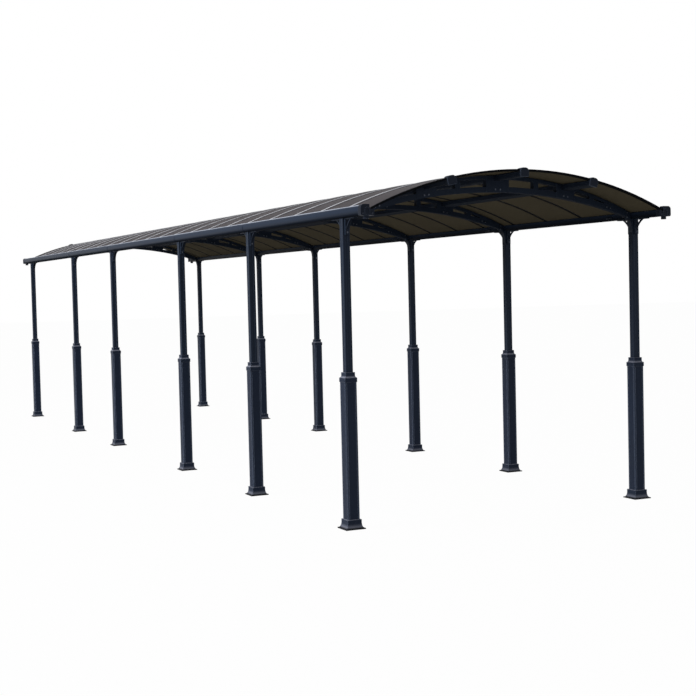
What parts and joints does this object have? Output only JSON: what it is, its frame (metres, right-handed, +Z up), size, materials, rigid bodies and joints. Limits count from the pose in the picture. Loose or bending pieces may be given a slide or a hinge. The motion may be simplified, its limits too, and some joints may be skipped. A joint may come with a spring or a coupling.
{
  "type": "carport",
  "caption": "Long free-standing carport: arched translucent sheet roof on ribs, purlins and open arched trusses, carried by two rows of posts on moulded pedestals with knee brackets",
  "frame": {"origin": "on the ground, at the centre of the plan", "axes": "+X across the carport towards its right side seen from the front, +Y along it from front to back, +Z up"},
  "size_m": [2.865, 12.343, 2.751],
  "materials": {
    "frame": "powder-coated aluminium, satin, dark blue-grey",
    "pedestal": "powder-coated aluminium, satin, dark blue-grey",
    "gutter": "powder-coated rolled aluminium, satin, blue-grey",
    "moulded_cap": "moulded plastic, fine grain, dark blue-grey",
    "roof_sheet": "twin-wall polycarbonate, smoke bronze tint, smooth"
  },
  "bodies": {
    "root": {"post_left_1": "frame", "post_left_2": "frame", "post_left_3": "frame", "post_left_4": "frame", "post_left_5": "frame", "post_left_6": "frame", "post_right_1": "frame", "post_right_2": "frame", "post_right_3": "frame", "post_right_4": "frame", "post_right_5": "frame", "post_right_6": "frame", "pedestal_left_1": "pedestal", "pedestal_left_2": "pedestal", "pedestal_left_3": "pedestal", "pedestal_left_4": "pedestal", "pedestal_left_5": "pedestal", "pedestal_left_6": "pedestal", "pedestal_right_1": "pedestal", "pedestal_right_2": "pedestal", "pedestal_right_3": "pedestal", "pedestal_right_4": "pedestal", "pedestal_right_5": "pedestal", "pedestal_right_6": "pedestal", "truss_1": "frame", "truss_2": "frame", "truss_3": "frame", "truss_4": "frame", "truss_5": "frame", "truss_6": "frame", "gutter_left": "gutter", "gutter_right": "gutter", "gutter_caps_left": "moulded_cap", "gutter_caps_right": "moulded_cap", "knee_brackets_left": "frame", "knee_brackets_right": "frame", "ridge_purlin": "frame", "side_purlin_left": "frame", "side_purlin_right": "frame", "purlin_caps": "moulded_cap", "roof_sheets": "roof_sheet", "roof_ribs": "frame", "edge_profile_front": "frame", "edge_profile_back": "frame"}
  },
  "joints": []
}
